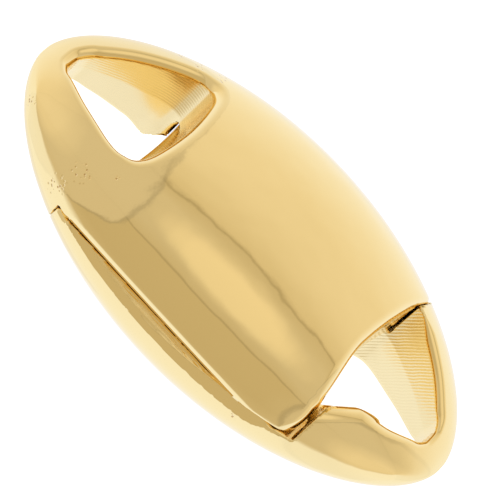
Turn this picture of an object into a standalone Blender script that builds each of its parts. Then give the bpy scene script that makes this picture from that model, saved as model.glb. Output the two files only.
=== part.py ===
"""Two-piece magnetic clasp with a strap loop at each end, in metres, +Z up.

Two castings make one lens-shaped body. Each has a loop at full thickness and a tongue of about half the
thickness, and the tongues lie on each other along a slightly sloping seat. A disc magnet in each seat holds
them together. The origin is on the surface that the clasp rests on, below the middle of the lens.
"""

import math

import bmesh
import bpy
from mathutils import Matrix, Vector

# Lens, the outer form of both castings together
CLASP_LENGTH = 0.0400
CLASP_WIDTH = 0.02176
CLASP_THICKNESS = 0.0124
PLAN_POWER = 0.513  # the width shrinks with (1 - s^2) to this power, s being the share of the half-length
PROFILE_POWER = 0.78  # the thickness shrinks with (1 - s^2) to this power
SECTION_POWER = 2.6  # a cross-section is a superellipse of this exponent
REST_LAND_DEPTH = 0.00015  # the flat polished on the belly, which the clasp rests on

# Strap hole in each loop, a rounded triangle with its apex towards the tip
TIP_WALL = 0.0021
HOLE_LENGTH = 0.0090
HOLE_WIDTH = 0.0105
HOLE_LAND = 0.0012
HOLE_DRAFT = math.radians(2.3)
HOLE_RIDGE = 0.00013

# Seat between the tongues, and the step where a tongue rises to its loop
SEAT_SLOPE = math.radians(2.4)
SEAT_GAP = 0.00015
STEP_SET_BACK = 0.0023
STEP_CLEARANCE = 0.0004
LIP_OVERHANG = 0.00103
LIP_HOLLOW = 0.00118
LIP_SKEW = 0.075
HORN_RADIUS = 0.0013

# Slanted nick for a fingernail, under the near edge of the upper half
NICK_DEPTH = 0.00118
NICK_TURN = math.radians(3.2)
NICK_ANGLE = math.radians(45)

# Disc magnets; the upper one stands proud and locates the halves
MAGNET_DIAMETER = 0.0080
MAGNET_THICKNESS = 0.0025
MAGNET_FIT = 0.0002
MAGNET_AIR_GAP = 0.00015
KEY_HEIGHT = 0.0006

# Fineness of the facets
STATIONS = 30
SECTION_POINTS = 44
SPLINE_STEPS = 3
CORNER_STEPS = 6
LIP_STEPS = 12
DISC_SIDES = 32

# Half of the strap hole's outline from its base to its apex, in shares of its length and of half its width
HOLE_COLUMNS = ("along", "across")
HOLE_OUTLINE = (
    (0.000, 0.00),
    (0.033, 0.65),
    (0.094, 0.92),
    (0.190, 1.00),
    (0.300, 0.97),
    (0.455, 0.85),
    (0.680, 0.63),
    (0.880, 0.36),
    (0.965, 0.20),
)

# Sizes that follow from the ones above
HALF_LENGTH = CLASP_LENGTH / 2
HALF_WIDTH = CLASP_WIDTH / 2
HALF_THICKNESS = CLASP_THICKNESS / 2
REST_HEIGHT = HALF_THICKNESS - REST_LAND_DEPTH
HOLE_APEX = HALF_LENGTH - TIP_WALL
HOLE_BASE = HOLE_APEX - HOLE_LENGTH
STEP = HOLE_BASE + STEP_SET_BACK
LIP_MIDDLE = HOLE_BASE + LIP_OVERHANG
HORN = STEP - STEP_CLEARANCE
CLEAR = HALF_WIDTH  # how far a cutter runs past what it cuts

# Finishes
GOLD = (0.83, 0.62, 0.27, 1.0)
GOLD_ROUGHNESS = 0.08
NICKEL = (0.62, 0.61, 0.58, 1.0)
NICKEL_ROUGHNESS = 0.25
SHARP_ANGLE = math.radians(35)  # edges that turn more than this stay crisp


def half_width_at(x):
    """Half the lens's width at a distance x from its middle."""
    return HALF_WIDTH * (1 - (x / HALF_LENGTH) ** 2) ** PLAN_POWER


def seat_height(x):
    """Height of the middle plane of the seat above the lens's middle plane."""
    return x * math.tan(SEAT_SLOPE)


def new_object(name, mesh_data):
    """An object in the scene that holds a finished bmesh."""
    mesh = bpy.data.meshes.new(name)
    bmesh.ops.recalc_face_normals(mesh_data, faces=mesh_data.faces)
    if mesh_data.calc_volume(signed=True) < 0:
        bmesh.ops.reverse_faces(mesh_data, faces=mesh_data.faces)
    mesh_data.to_mesh(mesh)
    mesh_data.free()
    mesh.shade_smooth()
    mesh.set_sharp_from_angle(angle=SHARP_ANGLE)
    made = bpy.data.objects.new(name, mesh)
    bpy.context.scene.collection.objects.link(made)
    return made


def loft(name, rings):
    """A closed body through rings of equally many points, with flat ends."""
    made = bmesh.new()
    rows = [[made.verts.new(point) for point in ring] for ring in rings]
    count = len(rows[0])
    for low, high in zip(rows, rows[1:]):
        for i in range(count):
            j = (i + 1) % count
            made.faces.new((low[i], low[j], high[j], high[i]))
    made.faces.new(rows[0])
    made.faces.new(rows[-1])
    return new_object(name, made)


def signed_power(value, power):
    """A power that keeps the sign of its base."""
    return math.copysign(abs(value) ** power, value)


def lens(name, land_depth):
    """The whole lens, with a flat of the given depth on its crown."""
    made = bmesh.new()
    crown = HALF_THICKNESS - land_depth
    rows = []
    for station in range(1, STATIONS):
        share = math.sin(math.pi * (station / STATIONS - 0.5))
        half_width = HALF_WIDTH * (1 - share**2) ** PLAN_POWER
        half_height = HALF_THICKNESS * (1 - share**2) ** PROFILE_POWER
        row = []
        for point in range(SECTION_POINTS):
            turn = math.tau * point / SECTION_POINTS
            across = half_width * signed_power(math.cos(turn), 2 / SECTION_POWER)
            up = half_height * signed_power(math.sin(turn), 2 / SECTION_POWER)
            row.append(made.verts.new((HALF_LENGTH * share, across, min(up, crown))))
        rows.append(row)
    for low, high in zip(rows, rows[1:]):
        for i in range(SECTION_POINTS):
            j = (i + 1) % SECTION_POINTS
            made.faces.new((low[i], low[j], high[j], high[i]))
    for row, tip in ((rows[0], -HALF_LENGTH), (rows[-1], HALF_LENGTH)):
        end = made.verts.new((tip, 0, 0))
        for i in range(SECTION_POINTS):
            made.faces.new((row[i], row[(i + 1) % SECTION_POINTS], end))
    return new_object(name, made)


def spline(points, steps):
    """Points on a smooth curve through the given ones, without the last."""
    ends = [2 * points[0] - points[1], *points, 2 * points[-1] - points[-2]]
    made = []
    for a, b, c, d in zip(ends, ends[1:], ends[2:], ends[3:]):
        for step in range(steps):
            t = step / steps
            made.append(
                0.5 * (2 * b + (c - a) * t + (2 * a - 5 * b + 4 * c - d) * t**2
                       + (3 * b - a - 3 * c + d) * t**3)
            )
    return made


def hole_outline():
    """The strap hole's outline at its rim, seen from above, with the apex towards -X."""
    shares = [dict(zip(HOLE_COLUMNS, row)) for row in HOLE_OUTLINE]
    side = [
        Vector((-HOLE_BASE - share["along"] * HOLE_LENGTH, share["across"] * HOLE_WIDTH / 2))
        for share in shares
    ]
    side.append(Vector((-HOLE_APEX, HOLE_LAND / 2)))
    whole = [Vector((point.x, -point.y)) for point in reversed(side[1:])] + side
    return spline(whole, SPLINE_STEPS) + [side[-1]]


def grown(outline, distance):
    """An outline moved outwards by a distance, point by point."""
    count = len(outline)
    moved = []
    for i, point in enumerate(outline):
        along = outline[(i + 1) % count] - outline[i - 1]
        outward = Vector((along.y, -along.x)).normalized()
        moved.append(point + outward * distance)
    return moved


def strap_hole(name):
    """Cutter for the strap hole, narrowest at the casting's ridge in the middle."""
    reach = HALF_THICKNESS + CLEAR
    rings = []
    for height in (-reach, 0.0, reach):
        growth = abs(height) * math.tan(HOLE_DRAFT) - HOLE_RIDGE
        rings.append([(p.x, p.y, height) for p in grown(hole_outline(), growth)])
    return loft(name, rings)


def tongue_space(name):
    """Cutter for the space below the tongue, as far as the step."""
    far = HALF_LENGTH + CLEAR
    below = -HALF_THICKNESS - CLEAR
    profile = (
        (-STEP, below),
        (far, below),
        (far, seat_height(far) + SEAT_GAP / 2),
        (-STEP, seat_height(-STEP) + SEAT_GAP / 2),
    )
    sides = (-HALF_WIDTH - CLEAR, HALF_WIDTH + CLEAR)
    return loft(name, [[(x, y, z) for x, z in profile] for y in sides])


def lip_outline(skew):
    """The end of a tongue seen from above, from one side of the lens to the other."""
    slope = (half_width_at(HORN) - half_width_at(HORN - HORN_RADIUS)) / HORN_RADIUS
    lean = math.atan(-slope)
    meets = HORN - HORN_RADIUS * (1 - math.sin(lean))
    middle_y = half_width_at(meets) - HORN_RADIUS * math.cos(lean)
    corner = []
    for step in range(CORNER_STEPS + 1):
        turn = (math.pi / 2 - lean) * (1 - step / CORNER_STEPS)
        x = HORN - HORN_RADIUS * (1 - math.cos(turn))
        corner.append((x, middle_y + HORN_RADIUS * math.sin(turn)))
    edge = []
    for step in range(1, LIP_STEPS):
        share = 2 * step / LIP_STEPS - 1
        y = middle_y * share
        edge.append((min(LIP_MIDDLE + LIP_HOLLOW * share**2 + skew * y, HORN), y))
    return [(x, -y) for x, y in corner] + edge + [(x, y) for x, y in reversed(corner)]


def beyond_lip(name, skew):
    """Cutter for all that lies past the end of the tongue."""
    far = HALF_LENGTH + CLEAR
    side = HALF_WIDTH + CLEAR
    lip = lip_outline(skew)
    plan = [(far, -side), (lip[0][0], -side), *lip, (lip[-1][0], side), (far, side)]
    reach = HALF_THICKNESS + CLEAR
    return loft(name, [[(x, y, z) for x, y in plan] for z in (-reach, reach)])


def nail_nick(name):
    """Cutter for the slanted nick under the near edge, a prism along the clasp."""
    reach = HALF_THICKNESS
    profile = (
        (0, 0),
        (-reach * math.cos(NICK_ANGLE), reach * math.sin(NICK_ANGLE)),
        (-reach, -reach),
        (0, -reach),
    )
    start = Matrix.Translation((0, NICK_DEPTH - HALF_WIDTH, SEAT_GAP / 2))
    turned = start @ Matrix.Rotation(-NICK_TURN, 4, "Z")
    place = turned @ Matrix.Rotation(-SEAT_SLOPE, 4, "Y")
    ends = (-STEP, HALF_LENGTH)
    return loft(name, [[place @ Vector((x, y, z)) for y, z in profile] for x in ends])


def disc(name, radius, low, high):
    """A round disc on the seat's normal between two distances from the seat's middle plane."""
    seat = Matrix.Rotation(-SEAT_SLOPE, 4, "Y")
    turns = [math.tau * side / DISC_SIDES for side in range(DISC_SIDES)]
    rim = [(radius * math.cos(turn), radius * math.sin(turn)) for turn in turns]
    return loft(name, [[seat @ Vector((x, y, height)) for x, y in rim] for height in (low, high)])


def metal(name, colour, roughness):
    """A metal with one colour and roughness."""
    made = bpy.data.materials.new(name)
    made.use_nodes = True
    shader = made.node_tree.nodes["Principled BSDF"]
    shader.inputs["Base Color"].default_value = colour
    shader.inputs["Metallic"].default_value = 1.0
    shader.inputs["Roughness"].default_value = roughness
    return made


def cut(piece, cutter):
    """Take a cutter's volume out of a piece, and hide the cutter."""
    cutter.parent = piece
    cutter.hide_render = True
    cutter.display_type = "WIRE"
    difference = piece.modifiers.new(cutter.name, "BOOLEAN")
    difference.operation = "DIFFERENCE"
    difference.solver = "EXACT"
    difference.object = cutter


def casting(name, land_depth, skew, key, material):
    """One half, with its loop towards -X and its crown up; key is how far its magnet stands proud."""
    half = lens(name, land_depth)
    half.data.materials.append(material)
    cut(half, tongue_space(name + "_tongue_space"))
    cut(half, beyond_lip(name + "_beyond_lip", skew))
    cut(half, strap_hole(name + "_strap_hole"))
    depth = MAGNET_AIR_GAP / 2 + MAGNET_THICKNESS - key + MAGNET_FIT
    cut(half, disc(name + "_pocket", MAGNET_DIAMETER / 2 + MAGNET_FIT, -KEY_HEIGHT - CLEAR, depth))
    return half


def magnet(name, key, material):
    """One disc magnet in its pocket; key is how far it stands proud of the seat."""
    low = MAGNET_AIR_GAP / 2 - key
    made = disc(name, MAGNET_DIAMETER / 2, low, low + MAGNET_THICKNESS)
    made.data.materials.append(material)
    return made


def frame_of(name, turn, pieces):
    """An empty in the middle of the lens that carries the pieces of one half."""
    carrier = bpy.data.objects.new(name, None)
    bpy.context.scene.collection.objects.link(carrier)
    carrier.location = (0, 0, REST_HEIGHT)
    carrier.rotation_euler = (0, turn, 0)
    for piece in pieces:
        piece.parent = carrier
    return carrier


def build():
    """The two castings and their magnets, closed and resting on the ground."""
    gold = metal("polished_gold_plating", GOLD, GOLD_ROUGHNESS)
    nickel = metal("nickel_plating", NICKEL, NICKEL_ROUGHNESS)
    upper_half = casting("upper_half", 0.0, LIP_SKEW, KEY_HEIGHT, gold)
    cut(upper_half, nail_nick("upper_half_nail_nick"))
    lower_half = casting("lower_half", REST_LAND_DEPTH, -LIP_SKEW, -KEY_HEIGHT, gold)
    upper_magnet = magnet("upper_magnet", KEY_HEIGHT, nickel)
    lower_magnet = magnet("lower_magnet", -KEY_HEIGHT, nickel)
    frame_of("upper_frame", 0.0, (upper_half, upper_magnet))
    frame_of("lower_frame", math.pi, (lower_half, lower_magnet))


for old in list(bpy.data.objects):
    bpy.data.objects.remove(old, do_unlink=True)
build()
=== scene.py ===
"""Looks of the two-piece magnetic clasp: polished gold-plated castings, nickel-plated magnets, a light tent.

Each casting starts from a copy of its plain solid. The copy is remeshed finely and settled on the rounded
form that the real casting has after tumbling and polishing, so that its reflections run smoothly.
"""

import logging
import math
from collections.abc import Sequence
from dataclasses import dataclass
from enum import Enum

import bpy
import numpy as np
from mathutils import Matrix, Vector


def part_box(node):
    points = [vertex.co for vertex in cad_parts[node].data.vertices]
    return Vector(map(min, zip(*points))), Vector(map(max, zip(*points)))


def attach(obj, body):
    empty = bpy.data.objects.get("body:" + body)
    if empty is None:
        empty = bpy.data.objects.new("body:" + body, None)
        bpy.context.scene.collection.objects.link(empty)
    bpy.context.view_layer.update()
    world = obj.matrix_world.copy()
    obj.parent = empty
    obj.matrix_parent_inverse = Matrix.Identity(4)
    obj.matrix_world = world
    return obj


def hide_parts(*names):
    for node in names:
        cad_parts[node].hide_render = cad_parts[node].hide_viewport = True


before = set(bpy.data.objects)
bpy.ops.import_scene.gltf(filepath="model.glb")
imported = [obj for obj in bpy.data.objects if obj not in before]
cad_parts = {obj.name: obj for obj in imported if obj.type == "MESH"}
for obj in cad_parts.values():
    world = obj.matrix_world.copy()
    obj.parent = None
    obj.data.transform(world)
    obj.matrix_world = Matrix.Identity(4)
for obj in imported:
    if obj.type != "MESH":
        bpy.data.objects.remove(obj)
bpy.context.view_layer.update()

MM = 0.001
FULL_TURN = 360.0
LOG = logging.getLogger("clasp")

# Short names for types
Array = np.ndarray
Pair = tuple[float, float]
Triple = tuple[float, float, float]
Node = bpy.types.Node
Socket = bpy.types.NodeSocket

# Limits that keep divisions safe
ALMOST_PARALLEL = 0.9995
ALMOST_END = 0.999
TINY = 1e-6
TINIER = 1e-9


class Half(Enum):
    """The two castings, by the body that carries each."""

    UPPER = "upper"
    LOWER = "lower"


def linear(hex_colour: str) -> tuple[float, float, float, float]:
    """Turn an sRGB hex colour into linear light.

    Args:
        hex_colour: Six hex digits with a leading hash.

    Returns:
        Linear red, green and blue, with an alpha of 1.
    """
    channels = [int(hex_colour[i:i + 2], 16) / 255 for i in (1, 3, 5)]
    light = [c / 12.92 if c <= 0.04045 else ((c + 0.055) / 1.055) ** 2.4 for c in channels]
    return (light[0], light[1], light[2], 1.0)


def smoothstep(low: float, high: float, value: Array) -> Array:
    """Rise smoothly from 0 at low to 1 at high.

    Args:
        low: Where the rise starts; it may lie above high for a fall.
        high: Where it ends.
        value: The values to look up.

    Returns:
        The share for each value.
    """
    share = np.clip((value - low) / (high - low), 0.0, 1.0)
    return share * share * (3 - 2 * share)


def mix(first: Array | float, second: Array | float, share: Array) -> Array:
    """Go from the first value to the second by the share."""
    return first + (second - first) * share


@dataclass
class Field:
    """Signed distances of many points from one surface, and the directions in which they grow."""

    distance: Array
    outward: Array

    def flipped(self) -> "Field":
        """The same surface seen from its other side."""
        return Field(-self.distance, -self.outward)

    def both(self, other: "Field", radius: Array | float) -> "Field":
        """Keep what lies inside both surfaces, with their shared edge rounded.

        Args:
            other: The second surface.
            radius: Radius of the rounded edge, one value or one for each point.

        Returns:
            The rounded intersection.
        """
        lean = np.clip(np.sum(self.outward * other.outward, axis=1), -ALMOST_PARALLEL, ALMOST_PARALLEL)
        a = self.distance + radius
        b = other.distance + radius
        sine_squared = 1 - lean**2
        reach = np.sqrt(np.maximum(a * a + b * b - 2 * a * b * lean, TINIER**2) / sine_squared)
        on_edge = (b > a * lean) & (a > b * lean) & ((a > 0) | (b > 0))
        first = (a > b)[:, None]
        plain = np.where(first, self.outward, other.outward)
        pull = (a - lean * b)[:, None] * self.outward + (b - lean * a)[:, None] * other.outward
        rounded = pull / (sine_squared * reach)[:, None]
        outward = np.where(on_edge[:, None], rounded, plain)
        outward /= np.maximum(np.linalg.norm(outward, axis=1), TINIER)[:, None]
        return Field(np.where(on_edge, reach, np.maximum(a, b)) - radius, outward)

    def either(self, other: "Field", radius: Array | float) -> "Field":
        """Keep what lies inside one surface or the other, with a rounded inner corner."""
        return self.flipped().both(other.flipped(), radius).flipped()


def flat(points: Array, on_plane: Sequence[float], outward: Sequence[float]) -> Field:
    """A plane as a surface.

    Args:
        points: Where the distances are wanted.
        on_plane: Any point of the plane.
        outward: Its outward direction.

    Returns:
        Distances from the plane.
    """
    direction = np.array(Vector(outward).normalized())
    distance = (points - np.array(Vector(on_plane))) @ direction
    return Field(distance, np.broadcast_to(direction, points.shape).copy())


def upright(level: Array, along: Array | float, across: Array) -> Field:
    """Make upright walls of a level and how fast it grows along X and Y."""
    size = np.sqrt(along**2 + across**2)
    return Field(level / size, np.stack([along / size, across / size, np.zeros(len(level))], axis=1))


@dataclass
class CastingForm:
    """The rounded form of one casting, with its loop towards -X, its crown up and the lens's middle at 0."""

    half: Half
    half_length: float = 20.0 * MM
    half_width: float = 10.88 * MM
    half_thickness: float = 6.2 * MM
    plan_power: float = 0.513
    profile_power: float = 0.78
    section_power: float = 2.6
    rest_land_depth: float = 0.15 * MM
    tip_wall: float = 2.1 * MM
    hole_length: float = 9.0 * MM
    hole_width: float = 10.5 * MM
    hole_land: float = 1.0 * MM
    hole_draft: float = math.radians(2.3)
    hole_ridge: float = 0.13 * MM
    seat_slope: float = math.radians(2.4)
    seat_gap: float = 0.15 * MM
    step_set_back: float = 2.3 * MM
    step_clearance: float = 0.35 * MM
    snug_clearance: float = 0.03 * MM
    far_bulge: float = 1.18 * MM
    far_bulge_shift: float = 0.6 * MM
    near_bulge: float = 0.55 * MM
    small_bulge: float = 0.38 * MM
    bulge_start: float = 7.0 * MM
    bulge_end: float = 5.3 * MM
    lip_overhang: float = 1.03 * MM
    lip_hollow: float = 1.18 * MM
    lip_skew: float = 0.075
    near_reach: float = 0.75 * MM
    reach_start: float = -1.5 * MM
    reach_end: float = -8.0 * MM
    horn_radius: float = 1.7 * MM
    snug_radius: float = 0.5 * MM
    nick_depth: float = 1.18 * MM
    nick_turn: float = math.radians(3.2)
    nick_angle: float = math.radians(45)
    chamfer_drop: float = 0.50 * MM
    chamfer_lift: float = 0.95 * MM
    lift_start: float = 8.0 * MM
    lift_end: float = 10.3 * MM
    shoulder_start: Pair = (10.8 * MM, -4.13 * MM)
    shoulder_angle: float = math.radians(42)
    shoulder_side: float = -1.5 * MM
    shoulder_end: float = 10.3 * MM
    shoulder_round: float = 1.0 * MM
    ramp_angle: float = math.radians(35)
    ramp_gap: float = 0.02 * MM
    ramp_end: float = 9.6 * MM
    pocket_radius: float = 4.2 * MM
    pocket_depth: float = 2.175 * MM
    key_height: float = 1.2 * MM
    land_round: float = 0.6 * MM
    lip_round: float = 0.9 * MM
    near_horn_round: float = 1.3 * MM
    far_horn_round: float = 0.45 * MM
    hidden_lip_round: float = 0.1 * MM
    edge_round: float = 0.3 * MM
    nick_round: float = 1.1 * MM
    step_round: float = 0.12 * MM
    crown_rim_round: float = 0.6 * MM
    base_rim_round: float = 1.0 * MM
    loop_rim_round: float = 0.85 * MM
    fine_rim_round: float = 0.5 * MM
    wall_foot_round: float = 0.08 * MM
    fine_round: float = 0.08 * MM
    tip_round: float = 0.03 * MM
    corner_round: float = 0.5 * MM
    hole_reach: float = 2.5 * MM
    side_blend: float = 2.0 * MM
    horn_band: Pair = (3.0 * MM, 8.0 * MM)
    crown_rim_band: Pair = (0.3 * MM, 1.2 * MM)
    loop_rim_band: Pair = (-1.0 * MM, -2.0 * MM)
    base_blend: float = 2.0 * MM
    tip_blend: float = 3.0 * MM
    far_arm_band: Pair = (0.5 * MM, 2.5 * MM)
    corner_loop_band: Pair = (-2.5 * MM, -1.0 * MM)
    corner_tongue_band: Pair = (1.9 * MM, 1.3 * MM)
    corner_height_band: Pair = (0.2 * MM, -0.6 * MM)
    corner_side: float = 0.8 * MM
    middle_blend: float = 1.0 * MM
    seat_blend: float = 0.3 * MM
    edge_band: Pair = (0.3 * MM, 1.5 * MM)
    curve_steps: int = 24
    block: int = 4000
    outline: tuple[Pair, ...] = (
        (0.000, 0.00),
        (0.033, 0.65),
        (0.094, 0.92),
        (0.190, 1.00),
        (0.300, 0.97),
        (0.455, 0.85),
        (0.680, 0.63),
        (0.880, 0.37),
        (0.940, 0.29),
        (0.980, 0.19),
    )

    @property
    def hole_apex(self) -> float:
        """Distance of the strap hole's apex from the middle."""
        return self.half_length - self.tip_wall

    @property
    def hole_base(self) -> float:
        """Distance of the strap hole's base from the middle."""
        return self.hole_apex - self.hole_length

    @property
    def step(self) -> float:
        """Distance of the step from the middle."""
        return self.hole_base + self.step_set_back

    @property
    def horn(self) -> float:
        """Distance of the tongue's furthest points from the middle."""
        return self.step - self.step_clearance

    def lens(self, p: Array) -> Field:
        """Measure from the lens that both castings make together.

        Args:
            p: Points in the casting's own place.

        Returns:
            Distances from the lens, true close to it.
        """
        share = p[:, 0] / self.half_length
        inner = 1 - share**2
        q = np.maximum(inner, TINY)
        n = self.section_power
        m = n * (self.profile_power - self.plan_power)
        k = 1 / (n * self.profile_power)
        across = np.abs(p[:, 1]) / self.half_width
        up = np.abs(p[:, 2]) / self.half_thickness
        body = np.maximum(across**n * q**m + up**n, TINIER)
        level = body**k - inner
        slope = k * body ** (k - 1)
        gradient = np.stack(
            [
                slope * across**n * m * q ** (m - 1) * (-2 * share / self.half_length)
                + 2 * share / self.half_length,
                slope * n * across ** (n - 1) * q**m * np.sign(p[:, 1]) / self.half_width,
                slope * n * up ** (n - 1) * np.sign(p[:, 2]) / self.half_thickness,
            ],
            axis=1,
        )
        size = np.maximum(np.linalg.norm(gradient, axis=1), TINY)
        return Field(level / size, gradient / size[:, None])

    def side_wall(self, p: Array) -> Field:
        """Measure from the lens's outline seen from above, as an upright wall.

        Args:
            p: Points in the casting's own place.

        Returns:
            Distances from the wall, which grow outward.
        """
        share = np.clip(p[:, 0] / self.half_length, -ALMOST_END, ALMOST_END)
        q = 1 - share**2
        width = self.half_width * q**self.plan_power
        slope = -2 * self.plan_power * share / self.half_length * width / q
        return upright(np.abs(p[:, 1]) - width, -slope, np.where(p[:, 1] < 0, -1.0, 1.0))

    def lip(self, p: Array) -> Field:
        """Measure from the hollow end of the tongue, with a horn at each side.

        Args:
            p: Points in the casting's own place.

        Returns:
            Distances from the end of the tongue.
        """
        skew = self.lip_skew if self.half is Half.UPPER else -self.lip_skew
        span = self.half_width * (1 - (self.horn / self.half_length) ** 2) ** self.plan_power
        share = p[:, 1] / span
        reach = self.near_reach if self.half is Half.UPPER else 0.0
        extra = reach * smoothstep(self.reach_start, self.reach_end, p[:, 1])
        ahead = reach * smoothstep(self.reach_start, self.reach_end, p[:, 1] + self.fine_round)
        end = self.hole_base + self.lip_overhang + self.lip_hollow * share**2 + skew * p[:, 1] + extra
        slope = 2 * self.lip_hollow * share / span + skew + (ahead - extra) / self.fine_round
        hollow = upright(p[:, 0] - end, 1.0, -slope)
        near = smoothstep(self.side_blend, -self.side_blend, p[:, 1]) if self.half is Half.UPPER else 0.0
        clearance = mix(self.snug_clearance, self.step_clearance, near)
        radius = mix(self.snug_radius, self.horn_radius, near)
        side = self.side_wall(p)
        side.distance = side.distance - np.maximum(self.step - clearance - radius - p[:, 0], 0)
        stop = flat(p, (self.step, 0, 0), (1, 0, 0))
        stop.distance = stop.distance + clearance
        return side.both(stop, radius).both(hollow, self.lip_rounding(p))

    def lip_rounding(self, p: Array) -> Array | float:
        """Say how far the end of the tongue was rounded in polishing.

        Args:
            p: Points in the casting's own place.

        Returns:
            The radius, larger at the near horn than at the far one; the lower casting's end was hidden.
        """
        if self.half is Half.LOWER:
            return self.hidden_lip_round
        start, end = self.horn_band
        near_side = mix(self.lip_round, self.near_horn_round, smoothstep(-start, -end, p[:, 1]))
        return mix(near_side, self.far_horn_round, smoothstep(start, end, p[:, 1]))

    def seat(self, p: Array) -> Field:
        """Measure from the sloping seat under the tongue and the step where it meets the loop.

        Args:
            p: Points in the casting's own place.

        Returns:
            Distances from the two together.
        """
        lean = (math.sin(self.seat_slope), 0, -math.cos(self.seat_slope))
        seat = flat(p, (0, 0, self.seat_gap / 2), lean)
        whole = seat.either(self.step_face(p), self.step_round)
        if self.half is Half.LOWER:
            whole = whole.either(self.ramp(p), self.fine_round)
        return whole

    def step_face(self, p: Array) -> Field:
        """Measure from the upright face of the step, which bulges towards the other tongue beside the hole.

        Args:
            p: Points in the casting's own place.

        Returns:
            Distances from the face.
        """
        across = np.abs(p[:, 1])
        if self.half is Half.UPPER:
            across = across - self.far_bulge_shift
            height = np.where(p[:, 1] > 0, self.far_bulge, 0.0)
        else:
            height = np.where(p[:, 1] > 0, self.small_bulge, self.near_bulge)
        bulge = height * smoothstep(self.bulge_start, self.bulge_end, across)
        ahead = height * smoothstep(self.bulge_start, self.bulge_end, across + self.fine_round)
        slope = (ahead - bulge) / self.fine_round * np.sign(p[:, 1])
        return upright(p[:, 0] + self.step - bulge, 1.0, -slope)

    def shoulder(self, p: Array) -> Field:
        """Measure from the shoulder where the lower casting's near arm slopes down to the step.

        Args:
            p: Points in the lower casting's own place.

        Returns:
            Distances from the shoulder, which spares the far arm and the tongue.
        """
        along, across = self.shoulder_start
        lift = math.cos(self.shoulder_angle) * math.sqrt(0.5)
        slope = flat(p, (-along, across, 0), (math.sin(self.shoulder_angle), lift, -lift))
        far_arm = flat(p, (0, self.shoulder_side, 0), (0, -1, 0))
        tongue = flat(p, (-self.shoulder_end, 0, 0), (-1, 0, 0))
        return slope.either(far_arm, self.fine_round).either(tongue, self.fine_round)

    def nick_place(self) -> Matrix:
        """Stand the nick's corner in the upper casting.

        Returns:
            A turn and place with its X along the nick and its -Y outward.
        """
        return (
            Matrix.Translation((0, self.nick_depth - self.half_width, self.seat_gap / 2))
            @ Matrix.Rotation(-self.nick_turn, 4, "Z")
            @ Matrix.Rotation(-self.seat_slope, 4, "Y")
        )

    def ramp(self, p: Array) -> Field:
        """Measure from the ramp on the lower casting's seat, which faces the nick of the upper one.

        Args:
            p: Points in the lower casting's own place.

        Returns:
            Distances from the ramp.
        """
        wall = self.side_wall(p)
        start = self.chamfer_drop - self.seat_gap / 2
        steep, level = math.sin(self.ramp_angle), math.cos(self.ramp_angle)
        rise = Field(
            (wall.distance + start) * steep - (p[:, 2] - self.seat_gap / 2) * level,
            wall.outward * steep + (0, 0, -level),
        )
        place = self.nick_place()
        slant = place.to_3x3() @ Vector((0, math.sin(self.nick_angle), math.cos(self.nick_angle)))
        corner = place.translation - slant * self.ramp_gap
        over = flat(p, (-corner.x, corner.y, -corner.z), (-slant.x, slant.y, -slant.z))
        end = flat(p, (-self.ramp_end, 0, 0), (-1, 0, 0))
        return rise.both(over, self.tip_round).both(end, self.edge_round)

    def chamfer(self, p: Array) -> Field:
        """Measure from the chamfer along the near edge of the lower casting's seat.

        Args:
            p: Points in the lower casting's own place.

        Returns:
            Distances from the chamfer, which runs out of the metal before the step.
        """
        wall = self.side_wall(p)
        lift = self.chamfer_lift * smoothstep(-self.lift_start, -self.lift_end, p[:, 0])
        distance = (wall.distance + self.chamfer_drop - lift - p[:, 2]) / math.sqrt(2)
        distance = np.where(p[:, 1] < 0, distance, -self.half_width)
        cut = Field(distance, (wall.outward + (0, 0, -1)) / math.sqrt(2))
        return cut.either(self.step_face(p), self.step_round)

    def hole_line(self) -> tuple[Array, Array]:
        """The strap hole's rim seen from above.

        Returns:
            Closely spaced points round the rim, and the outward direction at each.
        """
        side = [
            np.array((-self.hole_base - along * self.hole_length, across * self.hole_width / 2))
            for along, across in self.outline
        ]
        side.append(np.array((-self.hole_apex, self.hole_land / 2)))
        whole = np.array([point * (1, -1) for point in reversed(side[1:])] + side)
        # A smooth curve runs from each b to the next point c, and leaves and arrives along a and d.
        a, b, c, d = (np.roll(whole, -k, axis=0)[:, None] for k in (-1, 0, 1, 2))
        t = np.arange(self.curve_steps)[:, None] / self.curve_steps
        curve = 2 * b + (c - a) * t + (2 * a - 5 * b + 4 * c - d) * t**2 + (3 * b - a - 3 * c + d) * t**3
        points = (curve / 2).reshape(-1, 2)
        along = np.roll(points, -1, axis=0) - np.roll(points, 1, axis=0)
        outward = np.stack([along[:, 1], -along[:, 0]], axis=1)
        outward /= np.linalg.norm(outward, axis=1)[:, None]
        if np.sum(outward * (points - points.mean(axis=0))) < 0:
            outward = -outward
        return points, outward

    def hole(self, p: Array) -> Field:
        """Measure from the wall of the strap hole, drawn in to a low ridge at mid height.

        Args:
            p: Points in the casting's own place.

        Returns:
            Distances from the wall, rough ones far from the loop.
        """
        whole = Field(-(p[:, 0] + self.hole_base), np.tile((-1.0, 0.0, 0.0), (len(p), 1)))
        near = np.flatnonzero(p[:, 0] < self.hole_reach - self.hole_base)
        close = p[near]
        line, outward = self.hole_line()
        plan = close[:, :2]
        nearest = np.empty(len(close), int)
        for start in range(0, len(close), self.block):
            part = plan[start:start + self.block]
            gaps = ((part[:, None, :] - line[None, :, :]) ** 2).sum(axis=2)
            nearest[start:start + self.block] = gaps.argmin(axis=1)
        ahead = (nearest + 1) % len(line)
        behind = (nearest - 1) % len(line)
        tangent = line[ahead] - line[behind]
        share = np.sum((plan - line[nearest]) * tangent, axis=1) / np.sum(tangent**2, axis=1)
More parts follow.
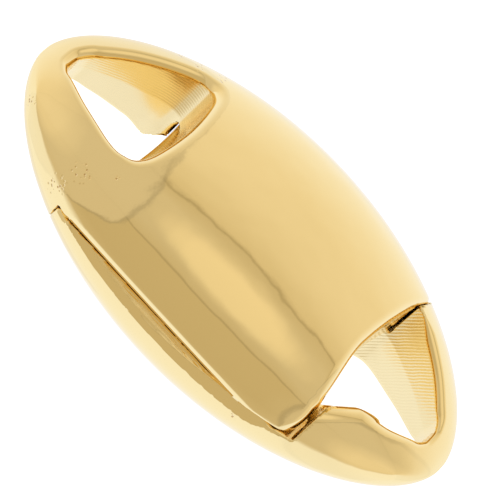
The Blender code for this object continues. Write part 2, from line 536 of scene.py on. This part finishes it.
        # The tangent spans two spacings, so that half of it reaches the next point.
        share = np.clip(share, -0.5, 0.5)[:, None]
        foot = line[nearest] + share * tangent
        facing = outward[nearest] + share * (outward[ahead] - outward[behind])
        facing /= np.linalg.norm(facing, axis=1)[:, None]
        away = plan - foot
        side = np.sign(np.sum(away * outward[nearest], axis=1))
        reach = side * np.linalg.norm(away, axis=1)
        growth = np.abs(close[:, 2]) * math.tan(self.hole_draft) - self.hole_ridge
        upward = math.tan(self.hole_draft) * np.sign(close[:, 2])
        out = np.stack([-facing[:, 0], -facing[:, 1], upward], axis=1)
        size = np.linalg.norm(out, axis=1)
        whole.distance[near] = (growth - reach) / size
        whole.outward[near] = out / size[:, None]
        return whole

    def hole_rounding(self, p: Array) -> Array:
        """Say how far the rims of the strap hole were rounded.

        Args:
            p: Points in the casting's own place.

        Returns:
            The radius: small at mid height, middling at the rims, large where the near arm meets the step.
        """
        x, y, z = p.T
        past_step = x + self.step
        above = smoothstep(*self.crown_rim_band, z)
        below = smoothstep(*self.loop_rim_band, z) * smoothstep(0, -self.base_blend, past_step)
        base_side = smoothstep(-self.base_blend, 0, x + self.hole_base)
        at_tip = smoothstep(self.tip_blend, 0, x + self.hole_apex)
        by_step = (
            smoothstep(*self.corner_loop_band, past_step)
            * smoothstep(*self.corner_tongue_band, past_step)
            * smoothstep(self.middle_blend, -self.middle_blend, y)
            * smoothstep(self.seat_blend, -self.seat_blend, z)
        )
        crown = mix(self.crown_rim_round, self.base_rim_round, base_side)
        fine = np.maximum(at_tip, smoothstep(*self.far_arm_band, y))
        loop = mix(self.loop_rim_round, self.fine_rim_round, fine)
        rim = mix(mix(self.wall_foot_round, crown, above), loop, below)
        return mix(rim, self.corner_round, by_step)

    def nick(self, p: Array) -> Field:
        """Measure from the slanted nick for a fingernail, which only the upper casting has.

        Args:
            p: Points in the casting's own place.

        Returns:
            Distances from the nick.
        """
        place = self.nick_place()
        turn = place.to_3x3()
        start = place.translation
        inner = flat(p, start, turn @ Vector((0, -1, 0)))
        down = Vector((0, -math.sin(self.nick_angle), -math.cos(self.nick_angle)))
        slant = flat(p, start, turn @ down)
        return inner.either(slant, self.fine_round).either(self.step_face(p), self.step_round)

    def pocket(self, p: Array) -> Field:
        """Measure from the round pocket for the magnet, square to the seat.

        Args:
            p: Points in the casting's own place.

        Returns:
            Distances from the pocket; the lower casting's is deeper by the height of its key.
        """
        depth = self.pocket_depth + (self.key_height if self.half is Half.LOWER else 0.0)
        normal = np.array((-math.sin(self.seat_slope), 0, math.cos(self.seat_slope)))
        height = p @ normal
        flat_part = p - height[:, None] * normal
        distance = np.linalg.norm(flat_part, axis=1)
        outward = -flat_part / np.maximum(distance, TINY)[:, None]
        wall = Field(self.pocket_radius - distance, outward)
        ceiling = flat(p, normal * depth, -normal)
        return wall.either(ceiling, self.fine_round)

    def surface(self, p: Array) -> Field:
        """The whole rounded casting.

        Args:
            p: Points in the casting's own place.

        Returns:
            Signed distances from its surface.
        """
        body = self.lens(p)
        if self.half is Half.LOWER:
            land = flat(p, (0, 0, self.half_thickness - self.rest_land_depth), (0, 0, 1))
            body = body.both(land, self.land_round)
        body = body.both(self.lip(p), self.lip_rounding(p))
        past_step = p[:, 0] + self.step - np.where(p[:, 1] > 0, self.far_bulge, 0.0)
        beyond_step = smoothstep(*self.edge_band, past_step)
        by_hole = smoothstep(-self.bulge_start - self.corner_side, -self.bulge_end, p[:, 1])
        by_hole *= smoothstep(self.middle_blend, -self.middle_blend, p[:, 1])
        by_hole *= smoothstep(*self.corner_height_band, p[:, 2])
        seat_round = mix(self.step_round, self.edge_round, beyond_step)
        seat_round = mix(seat_round, self.corner_round, by_hole)
        if self.half is Half.LOWER:
            body = body.both(self.chamfer(p), self.fine_round)
            body = body.both(self.shoulder(p), self.shoulder_round)
        body = body.both(self.seat(p), seat_round)
        if self.half is Half.UPPER:
            body = body.both(self.nick(p), mix(self.step_round, self.nick_round, beyond_step))
        body = body.both(self.hole(p), self.hole_rounding(p))
        return body.both(self.pocket(p), self.fine_round)


@dataclass
class Shading:
    """One material or world under construction."""

    tree: bpy.types.NodeTree

    def give(self, node: Node, inputs: dict) -> Node:
        """Set a node's properties and sockets, and link it.

        Args:
            node: The node.
            inputs: Properties by name, and sockets by name or number, each with a value or with the node or
                socket that feeds it.

        Returns:
            The same node.
        """
        for name, value in inputs.items():
            if isinstance(value, Node):
                value = value.outputs[0]
            if isinstance(value, Socket):
                self.tree.links.new(value, node.inputs[name])
            elif isinstance(name, str) and hasattr(node, name):
                setattr(node, name, value)
            else:
                node.inputs[name].default_value = value
        return node

    def add(self, kind: str, inputs: dict | None = None) -> Node:
        """Add a node with its settings and links."""
        return self.give(self.tree.nodes.new("ShaderNode" + kind), inputs or {})


def new_material(name: str) -> tuple[bpy.types.Material, Shading, Node]:
    """Start a material.

    Args:
        name: The finish's name.

    Returns:
        The material, what adds its nodes, and its shader.
    """
    made = bpy.data.materials.new(name)
    made.use_nodes = True
    return made, Shading(made.node_tree), made.node_tree.nodes["Principled BSDF"]


@dataclass(frozen=True)
class GoldPlating:
    """Gold plating on a zinc casting: hand-polished outside, filed in the hole and on the seat."""

    name: str
    rib_direction: Triple
    rib_pitch: float
    rib_height: float
    colour: str = "#FFE39E"
    wall_colour: str = "#FFE6A8"
    pit_colour: str = "#D9B070"
    polished_roughness: float = 0.05
    brushed_roughness: float = 0.22
    wave_length: float = 2.4 * MM
    wave_height: float = 0.036 * MM
    wave_detail: float = 1.0
    wave_roughness: float = 0.4
    ripple_length: float = 0.7 * MM
    ripple_height: float = 0.0025 * MM
    mark_detail: float = 2.0
    rib_wander: float = 0.20 * MM
    wander_pitches: float = 8.0
    grain_size: float = 0.5 * MM
    grain_height: float = 0.030 * MM
    grain_stretch: Triple = (0.12, 4.0, 4.0)
    pit_size: float = 0.30 * MM
    pit_depth: float = 0.05 * MM
    pore_reach: Pair = (0.38, 0.15)

    def material(self) -> bpy.types.Material:
        """Build the finish.

        Returns:
            The material for one casting.
        """
        made, nodes, shader = new_material(self.name)
        place = nodes.add("TexCoord").outputs["Object"]
        wall, filed, seat, pitted = (
            nodes.add("Attribute", {"attribute_name": name}).outputs["Fac"]
            for name in ("wall", "filed", "seat", "pitted")
        )
        pit = self.pits(nodes, place, pitted)
        self.tones(nodes, shader, wall, seat, pit)
        marked = self.filing(nodes, place, filed, seat, self.polish(nodes, place))
        # The pits catch dark specks of light where the casting's pores come through.
        sunk = nodes.add("Bump", {"Distance": self.pit_depth, "invert": True, "Height": pit,
                                  "Normal": marked})
        nodes.give(shader, {"Metallic": 1.0, "Normal": sunk})
        return made

    def pits(self, nodes: Shading, place: Socket, pitted: Socket) -> Node:
        """Scatter small pits over the spots noted on the mesh.

        Args:
            nodes: Where the nodes go.
            place: The point in the casting.
            pitted: 1 on the pitted spots.

        Returns:
            1 in a pit and 0 off it.
        """
        # Each cell gives one small round pore, dark in its middle.
        cells = nodes.add("TexVoronoi", {"Scale": 1 / self.pit_size, "Randomness": 1.0, "Vector": place})
        edge, core = self.pore_reach
        pore = nodes.add("MapRange", {"interpolation_type": "SMOOTHSTEP", 0: cells, 1: edge, 2: core})
        return nodes.add("Math", {"operation": "MULTIPLY", 0: pore, 1: pitted})

    def tones(self, nodes: Shading, shader: Node, wall: Socket, seat: Socket, pit: Node) -> None:
        """Give the plating its colour and gloss: pale yellow gold, paler and duller in the hole.

        Args:
            nodes: Where the nodes go.
            shader: The material's shader.
            wall: 1 on the wall of the hole.
            seat: 1 on the seat and ramp.
            pit: 1 in a pit.
        """
        plain = nodes.add("Mix", {"data_type": "RGBA", 0: wall, 6: linear(self.colour),
                                  7: linear(self.wall_colour)})
        # The pits are coloured a darker, browner gold than the plating around them.
        tone = nodes.add("Mix", {"data_type": "RGBA", 0: pit, 6: plain.outputs[2],
                                 7: linear(self.pit_colour)})
        # Filed faces blur what they reflect, and polished ones mirror it.
        worked = nodes.add("Math", {"operation": "MAXIMUM", 0: wall, 1: seat})
        gloss = nodes.add("MapRange", {0: worked, 3: self.polished_roughness, 4: self.brushed_roughness})
        nodes.give(shader, {"Base Color": tone.outputs[2], "Roughness": gloss})

    def polish(self, nodes: Shading, place: Socket) -> Node:
        """Wave the polished skin faintly, so that reflected edges wander as on hand-polished metal.

        Args:
            nodes: Where the nodes go.
            place: The point in the casting.

        Returns:
            The waved normal.
        """
        # The slow wave bends long reflections, and the ripple keeps their edges from looking drawn.
        wave = nodes.add("TexNoise", {"Scale": 1 / self.wave_length, "Detail": self.wave_detail,
                                      "Roughness": self.wave_roughness, "Vector": place})
        slow = nodes.add("Bump", {"Distance": self.wave_height, "Height": wave})
        ripple = nodes.add("TexNoise", {"Scale": 1 / self.ripple_length, "Detail": self.mark_detail,
                                        "Vector": place})
        return nodes.add("Bump", {"Distance": self.ripple_height, "Height": ripple, "Normal": slow})

    def filing(self, nodes: Shading, place: Socket, filed: Socket, seat: Socket, below: Node) -> Node:
        """Add the tool's ribs on the hole's wall and the long grain on the seat.

        Args:
            nodes: Where the nodes go.
            place: The point in the casting.
            filed: 1 on the filed part of the hole's wall.
            seat: 1 on the seat and ramp.
            below: The normal of the skin so far.

        Returns:
            The normal with the tool's marks.
        """
        # The ribs stripe the hole's wall with fine lines, and their wander keeps them from looking machined.
        along = nodes.add("VectorMath", {"operation": "DOT_PRODUCT", 0: place, 1: self.rib_direction})
        wander = nodes.add("TexNoise", {"Scale": 1 / (self.wander_pitches * self.rib_pitch),
                                        "Detail": self.mark_detail, "Vector": place})
        phase = nodes.add("Math", {"operation": "MULTIPLY_ADD", 0: wander, 1: self.rib_wander,
                                   2: along.outputs["Value"]})
        turns = nodes.add("Math", {"operation": "MULTIPLY", 0: phase, 1: math.tau / self.rib_pitch})
        ribs = nodes.add("Math", {"operation": "SINE", 0: turns})
        on_wall = nodes.add("Math", {"operation": "MULTIPLY", 0: ribs, 1: filed})
        ribbed = nodes.add("Bump", {"Distance": self.rib_height, "Height": on_wall, "Normal": below})
        # The stretched grain shows on the seat as scratches along the clasp.
        stretch = nodes.add("Mapping", {"Scale": self.grain_stretch, "Vector": place})
        grain = nodes.add("TexNoise", {"Scale": 1 / self.grain_size, "Detail": self.mark_detail,
                                       "Vector": stretch})
        on_seat = nodes.add("Math", {"operation": "MULTIPLY", 0: grain, 1: seat})
        return nodes.add("Bump", {"Distance": self.grain_height, "Height": on_seat, "Normal": ribbed})


@dataclass(frozen=True)
class NickelPlating:
    """Nickel plating on a sintered magnet: grey, slightly dull, faintly mottled."""

    name: str = "nickel_plating"
    colour: str = "#D6D2CA"
    mottle_size: float = 0.8 * MM
    mottle_detail: float = 4.0
    mottle_span: Pair = (0.3, 0.7)
    gloss: Pair = (0.18, 0.30)

    def material(self) -> bpy.types.Material:
        """Build the finish.

        Returns:
            The material for the magnets.
        """
        made, nodes, shader = new_material(self.name)
        # Handling leaves the thin nickel brighter in some patches than in others.
        mottle = nodes.add("TexNoise", {"Scale": 1 / self.mottle_size, "Detail": self.mottle_detail,
                                        "Vector": nodes.add("TexCoord").outputs["Object"]})
        dull = nodes.add("MapRange", dict(enumerate((mottle, *self.mottle_span, *self.gloss))))
        nodes.give(shader, {"Metallic": 1.0, "Base Color": linear(self.colour), "Roughness": dull})
        return made


def only(piece: bpy.types.Object) -> None:
    """Select one object and make it active.

    Args:
        piece: The object.
    """
    bpy.ops.object.select_all(action="DESELECT")
    piece.select_set(True)
    bpy.context.view_layer.objects.active = piece


@dataclass
class Casting:
    """One gold-plated half of the clasp."""

    half: Half
    finish: GoldPlating
    pits: tuple[Triple, ...]
    rest_height: float = 6.05 * MM
    coarse_voxel: float = 0.24 * MM
    fine_voxel: float = 0.141 * MM
    coarse_rounds: int = 12
    fine_rounds: int = 5
    final_rounds: int = 6
    stride: float = 0.8
    ease: float = 0.5
    merge_distance: float = 0.001 * MM
    rib_edge: float = 0.1 * MM
    part_reach: Pair = (0.06 * MM, 0.02 * MM)
    part_lean: Pair = (0.97, 0.995)
    pit_core: float = 0.3

    @property
    def node(self) -> str:
        """The plain solid that this piece stands for."""
        return self.half.value + "_half"

    def turned(self, p: Array) -> Array:
        """Turn directions of the clasp into the casting's own, with its crown up, or back again."""
        return p if self.half is Half.UPPER else p * (-1, 1, -1)

    def blank(self) -> bpy.types.Object:
        """Copy the plain solid and merge its points.

        Returns:
            A closed copy that the form is worked from.
        """
        only(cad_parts[self.node])
        bpy.ops.object.duplicate()
        piece = bpy.context.active_object
        piece.name = self.half.value + "_casting"
        piece.data.name = piece.name
        piece.parent = None
        for key in list(piece.keys()):
            del piece[key]
        only(piece)
        bpy.ops.object.mode_set(mode="EDIT")
        bpy.ops.mesh.select_all(action="SELECT")
        bpy.ops.mesh.remove_doubles(threshold=self.merge_distance)
        bpy.ops.object.mode_set(mode="OBJECT")
        return piece

    def settle(self, piece: bpy.types.Object, form: CastingForm, voxel: float, rounds: int) -> Array:
        """Remesh the piece evenly and move its points onto the rounded form.

        Args:
            piece: The piece, in the clasp's place.
            form: The form of the casting.
            voxel: Spacing of the new points.
            rounds: How often the points are evened out.

        Returns:
            The points in the casting's own place.
        """
        remesh = piece.modifiers.new("even", "REMESH")
        remesh.mode = "VOXEL"
        remesh.voxel_size = voxel
        bpy.ops.object.modifier_apply(modifier=remesh.name)
        mesh = piece.data
        count = len(mesh.vertices)
        flat_list = np.empty(count * 3)
        mesh.vertices.foreach_get("co", flat_list)
        points = self.turned(flat_list.reshape(-1, 3) - (0, 0, self.rest_height))
        edges = np.empty(len(mesh.edges) * 2, int)
        mesh.edges.foreach_get("vertices", edges)
        first, second = edges.reshape(-1, 2).T
        ties = np.bincount(first, minlength=count) + np.bincount(second, minlength=count)
        limit = voxel * self.stride
        for turn in range(rounds + self.final_rounds):
            found = form.surface(points)
            points = points - np.clip(found.distance, -limit, limit)[:, None] * found.outward
            if turn >= rounds:
                continue
            total = np.zeros_like(points)
            for axis in range(3):
                total[:, axis] = np.bincount(first, weights=points[second, axis], minlength=count)
                total[:, axis] += np.bincount(second, weights=points[first, axis], minlength=count)
            points = points + self.ease * (total / ties[:, None] - points)
        settled = self.turned(points) + (0, 0, self.rest_height)
        mesh.vertices.foreach_set("co", settled.astype(np.float32).ravel())
        mesh.update()
        return points

    def dress(self, piece: bpy.types.Object, form: CastingForm, points: Array) -> None:
        """Note the worked and pitted places on the mesh, and shade it with the form's own directions.

        Args:
            piece: The settled piece.
            form: The form of the casting.
            points: Its points in the casting's own place.
        """
        mesh = piece.data
        found = form.surface(points)
        LOG.info("%s: largest miss %.4f mm", piece.name, np.abs(found.distance).max() / MM)
        wall = self.share_of(form.hole(points), found)
        self.note(mesh, "wall", wall)
        upper_part = smoothstep(-self.rib_edge, self.rib_edge, points[:, 2])
        self.note(mesh, "filed", wall * upper_part if self.half is Half.UPPER else wall)
        self.note(mesh, "seat", self.share_of(form.seat(points), found))
        self.note(mesh, "pitted", self.pitted(points, found))
        only(piece)
        bpy.ops.object.shade_smooth()
        mesh.normals_split_custom_set_from_vertices(self.turned(found.outward).astype(np.float32))

    def share_of(self, part: Field, whole: Field) -> Array:
        """Find where the whole surface is one of its parts.

        Args:
            part: The surface to find.
            whole: The whole casting at the same points.

        Returns:
            1 on the part and 0 off it, with a soft border.
        """
        close = smoothstep(*self.part_reach, np.abs(part.distance))
        return close * smoothstep(*self.part_lean, np.sum(part.outward * whole.outward, axis=1))

    def pitted(self, points: Array, found: Field) -> Array:
        """Find where small pits of the casting show through the plating.

        Args:
            points: The mesh's points in the casting's own place.
            found: The casting's surface there.

        Returns:
            1 in the middle of a pitted spot and 0 off it.
        """
        world = self.turned(points)
        facing = self.turned(found.outward)
        seen = (facing[:, 2] - facing[:, 1]) > 0
        slope = (world[:, 1] + world[:, 2]) * math.sqrt(0.5)
        share = np.zeros(len(points))
        for along, up_slope, reach in self.pits:
            gap = np.hypot(world[:, 0] - along * MM, slope - up_slope * MM)
            share = np.maximum(share, smoothstep(reach * MM, self.pit_core * reach * MM, gap))
        return share * seen

    def note(self, mesh: bpy.types.Mesh, name: str, values: Array) -> None:
        """Write one value for each point of the mesh."""
        attribute = mesh.attributes.new(name, "FLOAT", "POINT")
        attribute.data.foreach_set("value", values.astype(np.float32))

    def build(self) -> bpy.types.Object:
        """Make the casting.

        Returns:
            The finished piece, riding on its body.
        """
        piece = self.blank()
        form = CastingForm(self.half)
        self.settle(piece, form, self.coarse_voxel, self.coarse_rounds)
        points = self.settle(piece, form, self.fine_voxel, self.fine_rounds)
        self.dress(piece, form, points)
        piece.data.materials.clear()
        piece.data.materials.append(self.finish.material())
        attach(piece, self.half.value)
        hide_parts(self.node)
        return piece


@dataclass
class Magnet:
    """One nickel-plated disc magnet in its pocket."""

    half: Half
    finish: bpy.types.Material
    diameter: float = 8.0 * MM
    thickness: float = 2.5 * MM
    bevel: float = 0.25 * MM
    bevel_segments: int = 3
    sides: int = 96
    smooth_angle: float = math.radians(40)
    seat_slope: float = math.radians(2.4)

    def build(self) -> bpy.types.Object:
        """Turn the disc and round its rims.

        Returns:
            The finished piece, riding on its body.
        """
        node = self.half.value + "_magnet"
        low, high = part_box(node)
        bpy.ops.object.select_all(action="DESELECT")
        bpy.ops.mesh.primitive_cylinder_add(
            vertices=self.sides, radius=self.diameter / 2, depth=self.thickness,
            location=(low + high) / 2, rotation=(0, -self.seat_slope, 0),
        )
        piece = bpy.context.active_object
        piece.name = self.half.value + "_disc_magnet"
        bevel = piece.modifiers.new("rims", "BEVEL")
        bevel.width = self.bevel
        bevel.segments = self.bevel_segments
        bpy.ops.object.modifier_apply(modifier=bevel.name)
        bpy.ops.object.transform_apply(location=True, rotation=True, scale=True)
        bpy.ops.object.shade_smooth_by_angle(angle=self.smooth_angle)
        piece.data.materials.append(self.finish)
        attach(piece, self.half.value)
        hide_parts(node)
        return piece


@dataclass
class Studio:
    """The light tent, the pale floor and the camera."""

    tent_profile: tuple[tuple[float, float, float, float], ...] = (
        # angle from overhead towards the far side in degrees, brightness, warmth, share left to the panels
        (-180.0, 0.97, 0.00, 0.2),
        (-140.0, 0.96, 0.05, 0.2),
        (-129.0, 0.60, 0.95, 0.8),
        (-110.0, 0.57, 1.00, 1.0),
        (-43.5, 0.585, 1.00, 1.0),
        (-42.0, 0.46, 1.00, 1.0),
        (-40.5, 0.46, 1.00, 1.0),
        (-39.0, 0.60, 0.92, 1.0),
        (-22.0, 0.64, 0.80, 1.0),
        (10.0, 0.67, 0.80, 1.0),
        (21.3, 0.62, 0.92, 1.0),
        (22.2, 0.46, 1.00, 1.0),
        (23.2, 0.46, 1.00, 1.0),
        (24.2, 0.70, 0.90, 1.0),
        (38.0, 0.80, 0.78, 0.8),
        (50.0, 0.865, 0.70, 0.5),
        (63.0, 0.915, 0.50, 0.3),
        (79.0, 0.95, 0.28, 0.2),
        (93.0, 0.97, 0.10, 0.2),
        (180.0, 0.97, 0.00, 0.2),
    )
    warm: Triple = (1.0, 0.897, 0.716)
    cool: Triple = (1.0, 1.10, 1.40)
    sag: float = 5.0
    cloth_scale: float = 4.0
    cloth_detail: float = 1.0
    strip_middle: Pair = (0.07, -7.0)
    strip_reach: Pair = (0.46, 27.0)
    strip_boost: float = 0.32
    strip_core: float = 0.45
    end_profile: tuple[Triple, ...] = (
        # lean along the clasp, brightness, share of the end panel
        (-1.00, 1.25, 0.85),
        (-0.90, 1.20, 0.85),
        (-0.75, 1.00, 0.90),
        (-0.448, 1.00, 0.85),
        (-0.440, 0.74, 0.50),
        (-0.431, 0.74, 0.30),
        (-0.422, 1.00, 0.00),
        (0.50, 1.00, 0.00),
        (0.60, 1.00, 0.20),
        (0.615, 0.78, 0.30),
        (0.635, 0.78, 0.50),
        (0.65, 1.00, 0.70),
        (0.80, 1.00, 0.85),
        (0.95, 1.25, 0.85),
    )
    end_skew: float = 0.0014
    skew_pivot: float = -40.0
    end_colour: tuple[float, float, float, float] = (0.68, 0.645, 0.61, 1.0)
    floor_size: float = 4.0
    floor_drop: float = 0.06 * MM
    floor_glow: float = 0.8
    floor_colour: str = "#F4F4F4"
    floor_roughness: float = 0.9
    focal: float = 300.0
    sensor: float = 36.0
    frame_width: float = 34.63 * MM
    clip_start: float = 0.01
    clip_end: float = 10.0
    target: Triple = (-0.0001, 0.00056, 0.00661)
    elevation: float = math.radians(45)
    roll: float = math.radians(46.7)

    def tent(self) -> None:
        """Light the scene from a white tent with a darker front, dark seams and a strip light overhead."""
        world = bpy.data.worlds.new("light_tent")
        bpy.context.scene.world = world
        world.use_nodes = True
        nodes = Shading(world.node_tree)
        direction = nodes.add("TexCoord").outputs["Generated"]
        x, y, z = nodes.add("SeparateXYZ", {0: direction}).outputs
        turned = nodes.add("Math", {"operation": "ARCTAN2", 0: y, 1: z})
        degrees = nodes.add("Math", {"operation": "MULTIPLY_ADD", 0: turned, 1: math.degrees(1),
                                     2: -self.sag / 2})
        # The cloth sags a little, so that its seams aren't quite straight.
        cloth = nodes.add("TexNoise", {"Scale": self.cloth_scale, "Detail": self.cloth_detail,
                                       "Vector": direction})
        angle = nodes.add("Math", {"operation": "MULTIPLY_ADD", 0: cloth, 1: self.sag, 2: degrees})
        # The tent's profile gives the crown its bands, pale above and behind and darker in front.
        way_round = nodes.add("Math", {"operation": "MULTIPLY_ADD", 0: angle, 1: 1 / FULL_TURN, 2: 0.5})
        ramp = nodes.add("ValToRGB", {0: way_round})
        tints = list(zip(self.warm, self.cool))
        self.fill(ramp, [
            (turn / FULL_TURN + 0.5, [bright * mix(cool, warm, warmth) for warm, cool in tints], share)
            for turn, bright, warmth, share in self.tent_profile
        ])
        boost = self.strip(nodes, x, angle)
        boosted = nodes.add("VectorMath", {"operation": "SCALE", 0: ramp, "Scale": boost})
        # The seams between the tent and its end panels lean a little with the angle.
        skewed = nodes.add("Math", {"operation": "MULTIPLY_ADD", 0: angle, 1: -self.end_skew, 2: x})
        shift = 0.5 + self.skew_pivot * self.end_skew / 2
        lean = nodes.add("Math", {"operation": "MULTIPLY_ADD", 0: skewed, 1: 0.5, 2: shift})
        ends = nodes.add("ValToRGB", {0: lean})
        self.fill(ends, [
            (place / 2 + 0.5, (bright, share, 0.0), 1.0)
            for place, bright, share in self.end_profile
        ])
        seam = nodes.add("SeparateColor", {0: ends})
        panel = nodes.add("Math", {"operation": "MULTIPLY", 0: seam.outputs[1], 1: ramp.outputs["Alpha"]})
        colour = nodes.add("Mix", {"data_type": "RGBA", 0: panel, 6: boosted, 7: self.end_colour})
        dark = nodes.add("Mix", {"data_type": "FLOAT", 0: ramp.outputs["Alpha"], 2: 1.0, 3: seam})
        seamed = nodes.add("VectorMath", {"operation": "SCALE", 0: colour.outputs[2], "Scale": dark})
        nodes.give(world.node_tree.nodes["Background"], {"Color": seamed})

    def strip(self, nodes: Shading, x: Socket, angle: Node) -> Node:
        """Hang the strip light over the clasp, with soft round ends.

        Args:
            nodes: Where the nodes go.
            x: How far the direction leans along the clasp.
            angle: Its angle from overhead in degrees.

        Returns:
            How many times brighter the tent is there.
        """
        both = nodes.add("CombineXYZ", {0: x, 1: angle})
        scale = [1 / reach for reach in self.strip_reach]
        shift = [-middle * factor for middle, factor in zip(self.strip_middle, scale)]
        inside = nodes.add("VectorMath", {"operation": "MULTIPLY_ADD", 0: both, 1: (*scale, 0.0),
                                          2: (*shift, 0.0)})
        far = nodes.add("VectorMath", {"operation": "LENGTH", 0: inside}).outputs["Value"]
        return nodes.add("MapRange", {"interpolation_type": "SMOOTHSTEP", 0: far, 1: 1.0,
                                      2: self.strip_core, 3: 1.0, 4: 1 + self.strip_boost})

    def fill(self, ramp: Node, rows: list[tuple]) -> None:
        """Write rows into a colour ramp.

        Args:
            ramp: The ramp.
            rows: Place from 0 to 1, colour and alpha of each stop.
        """
        stops = ramp.color_ramp.elements
        for i, (place, colour, alpha) in enumerate(rows):
            # A new ramp has two stops already.
            stop = stops[i] if i < 2 else stops.new(place)
            stop.position = place
            stop.color = (*colour, alpha)

    def floor(self) -> None:
        """Lay the pale floor, lit from below like a light table."""
        bpy.ops.object.select_all(action="DESELECT")
        bpy.ops.mesh.primitive_plane_add(size=self.floor_size, location=(0, 0, -self.floor_drop))
        plane = bpy.context.active_object
        plane.name = "floor"
        bpy.ops.object.transform_apply(location=True, rotation=True, scale=True)
        made, nodes, shader = new_material("matt_white_floor")
        nodes.give(shader, {
            "Base Color": linear(self.floor_colour),
            "Roughness": self.floor_roughness,
            "Specular IOR Level": 0.0,
            "Emission Color": linear("#FFFFFF"),
            "Emission Strength": self.floor_glow,
        })
        plane.data.materials.append(made)
        plane.visible_glossy = False

    def camera(self) -> None:
        """Stand the camera 45 degrees above the floor, turned so that the clasp lies along the diagonal."""
        data = bpy.data.cameras.new("camera")
        data.lens = self.focal
        data.sensor_width = self.sensor
        data.clip_start = self.clip_start
        data.clip_end = self.clip_end
        eye = bpy.data.objects.new("camera", data)
        bpy.context.scene.collection.objects.link(eye)
        up = Vector((0, math.sin(self.elevation), math.cos(self.elevation)))
        back = Vector((0, -math.cos(self.elevation), math.sin(self.elevation)))
        along = Vector((1, 0, 0))
        right = along * math.cos(self.roll) + up * math.sin(self.roll)
        top = -along * math.sin(self.roll) + up * math.cos(self.roll)
        turn = Matrix((right, top, back)).transposed()
        distance = self.frame_width * self.focal / self.sensor
        eye.matrix_world = Matrix.Translation(Vector(self.target) + back * distance) @ turn.to_4x4()
        bpy.context.scene.camera = eye

    def build(self) -> None:
        """Set up light, floor, camera and a plain view of the colours."""
        self.tent()
        self.floor()
        self.camera()
        bpy.context.scene.view_settings.view_transform = "Standard"


def main() -> None:
    """Build the castings, the magnets and the studio."""
    logging.basicConfig(level=logging.INFO, format="%(message)s")
    upper_gold = GoldPlating(
        "polished_gold_plating_upper", rib_direction=(0.0, 0.0, 1.0), rib_pitch=0.24 * MM,
        rib_height=0.0014 * MM,
    )
    lower_gold = GoldPlating(
        "polished_gold_plating_lower", rib_direction=(0.739, -0.465, -0.485), rib_pitch=0.215 * MM,
        rib_height=0.004 * MM,
    )
    upper_pits = (
        # place along the clasp, place up a 45-degree slope over it, reach, in millimetres
        (-12.3, -5.7, 0.9),
        (-11.7, -3.9, 1.0),
        (-9.7, -2.4, 0.35),
        (-17.8, -3.1, 0.5),
        (-13.3, 6.6, 0.4),
        (-11.8, 7.0, 0.4),
        (-10.1, 7.5, 0.5),
    )
    lower_pits = ((7.3, -7.8, 0.3),)
    upper = Casting(Half.UPPER, upper_gold, pits=upper_pits)
    lower = Casting(Half.LOWER, lower_gold, pits=lower_pits)
    nickel = NickelPlating().material()
    for casting in (upper, lower):
        for piece in (casting.build(), Magnet(casting.half, nickel).build()):
            LOG.info("%s: %d faces", piece.name, len(piece.data.polygons))
    Studio().build()


if __name__ == "__main__":
    main()
